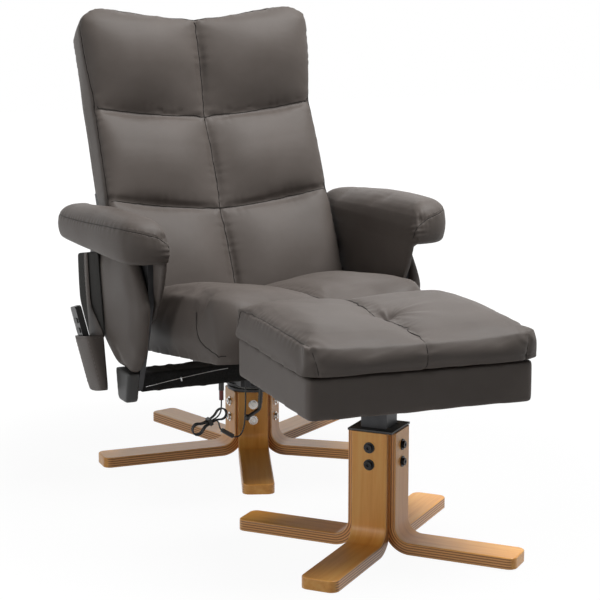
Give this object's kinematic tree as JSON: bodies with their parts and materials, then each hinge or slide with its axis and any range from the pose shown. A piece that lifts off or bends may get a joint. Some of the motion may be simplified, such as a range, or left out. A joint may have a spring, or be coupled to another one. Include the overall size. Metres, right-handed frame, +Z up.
{
  "type": "massage recliner with storage footstool",
  "caption": "Swivel massage recliner in padded faux leather on a bent-plywood star base, with a recline lever, a handset in a side pouch and a matching storage footstool.",
  "frame": {"origin": "on the floor under the chair's swivel axis", "axes": "+Z up along the swivel axis, the chair faces -Y, +X to the right seen from in front"},
  "size_m": [0.7814, 1.383, 0.9846],
  "materials": {
    "oak_plywood": "satin clear lacquer, ply layers on the edges",
    "taupe_leather": "matt faux leather",
    "plain_board": "raw board",
    "black_fabric": "matt woven",
    "dark_steel": "satin powder coat",
    "bright_steel": "bright zinc",
    "black_bolts": "black oxide",
    "black_plastic": "matt moulded",
    "silver_plastic": "silver moulded",
    "red_plastic": "moulded",
    "nylon": "natural",
    "rubber_feet": "matt",
    "lead_jacket": "satin jacket"
  },
  "bodies": {
    "base": {"chair_leg_1": "oak_plywood", "chair_leg_2": "oak_plywood", "chair_leg_3": "oak_plywood", "chair_leg_4": "oak_plywood", "chair_leg_5": "oak_plywood", "base_core": "plain_board", "base_bolts": "bright_steel", "base_glides": "rubber_feet", "swivel_lower_plate": "dark_steel", "swivel_thrust_washer": "nylon"},
    "turning_frame": {"swivel_upper_plate": "dark_steel", "under_frame": "dark_steel", "beam_cover": "black_fabric", "arm_frames": "dark_steel", "arm_panel_left": "taupe_leather", "arm_panel_right": "taupe_leather", "arm_pad_left": "taupe_leather", "arm_pad_right": "taupe_leather", "arm_end_caps": "black_plastic", "back_pivot_bolts": "bright_steel", "seat_rails": "dark_steel", "lever_bracket": "dark_steel", "control_box": "black_plastic", "lead_glands": "black_plastic", "lead_connector": "red_plastic", "lead_main": "lead_jacket", "hank_tie": "black_plastic", "inline_connector": "black_plastic", "lead_return": "lead_jacket", "remote_pouch": "black_fabric"},
    "back": {"back_board": "plain_board", "back_cushion": "taupe_leather", "back_rear_cover": "taupe_leather", "back_brackets": "dark_steel", "back_drive_rod": "bright_steel", "back_motors": "black_plastic"},
    "seat": {"seat_board": "plain_board", "seat_cushion": "taupe_leather", "seat_shoes": "nylon", "seat_slot_forks": "dark_steel", "seat_motors": "black_plastic"},
    "lever": {"recline_lever": "black_plastic"},
    "handset": {"handset_front": "silver_plastic", "handset_rear": "black_plastic"},
    "power_key_body": {"power_key": "black_plastic"},
    "mode_key_body": {"mode_key": "black_plastic"},
    "stool": {"stool_leg_1": "oak_plywood", "stool_leg_2": "oak_plywood", "stool_leg_3": "oak_plywood", "stool_leg_4": "oak_plywood", "stool_post": "dark_steel", "stool_cap": "black_plastic", "stool_bolts": "black_bolts", "stool_glides": "rubber_feet", "stool_box": "taupe_leather", "stool_box_floor": "plain_board", "stool_hinge_leaves": "bright_steel"},
    "stool_lid": {"stool_lid_board": "plain_board", "stool_lid_cushion": "taupe_leather", "lid_hinge_leaves": "bright_steel"}
  },
  "joints": [
    {"name": "chair_swivel", "type": "hinge", "parent": "base", "child": "turning_frame", "pos_m": [0, 0, 0.16], "axis": [0, 0, 1], "continuous": true},
    {"name": "back_recline", "type": "hinge", "parent": "turning_frame", "child": "back", "pos_m": [0, 0.18235, 0.43107], "axis": [-1, 0, 0], "range_deg": [0, 30]},
    {"name": "seat_glide", "type": "slide", "parent": "turning_frame", "child": "seat", "axis": [0, -0.9925, 0.1219], "range_m": [0, 0.0735]},
    {"name": "lever_swing", "type": "hinge", "parent": "turning_frame", "child": "lever", "pos_m": [-0.024, -0.1065, 0.206], "axis": [-1, 0, 0], "range_deg": [0, 40]},
    {"name": "handset_lift", "type": "slide", "parent": "turning_frame", "child": "handset", "axis": [-0.193, 0.1704, 0.9663], "range_m": [0, 0.11]},
    {"name": "power_key_press", "type": "slide", "parent": "handset", "child": "power_key_body", "axis": [0.9812, 0.0335, 0.1901], "range_m": [0, 0.0012], "stiffness_N_per_m": 400},
    {"name": "mode_key_press", "type": "slide", "parent": "handset", "child": "mode_key_body", "axis": [0.9812, 0.0335, 0.1901], "range_m": [0, 0.0012], "stiffness_N_per_m": 400},
    {"name": "stool_slide", "type": "slide", "parent": "base", "child": "stool", "axis": [0, -1, 0], "range_m": [0, 0.4]},
    {"name": "stool_lid_hinge", "type": "hinge", "parent": "stool", "child": "stool_lid", "pos_m": [-0.04152, -0.52275, 0.388], "axis": [-0.9957, 0.0924, 0], "range_deg": [0, 95]}
  ],
  "couplings": [
    {"joint": "seat_glide", "follows": "back_recline", "m_per_rad": 0.139}
  ]
}
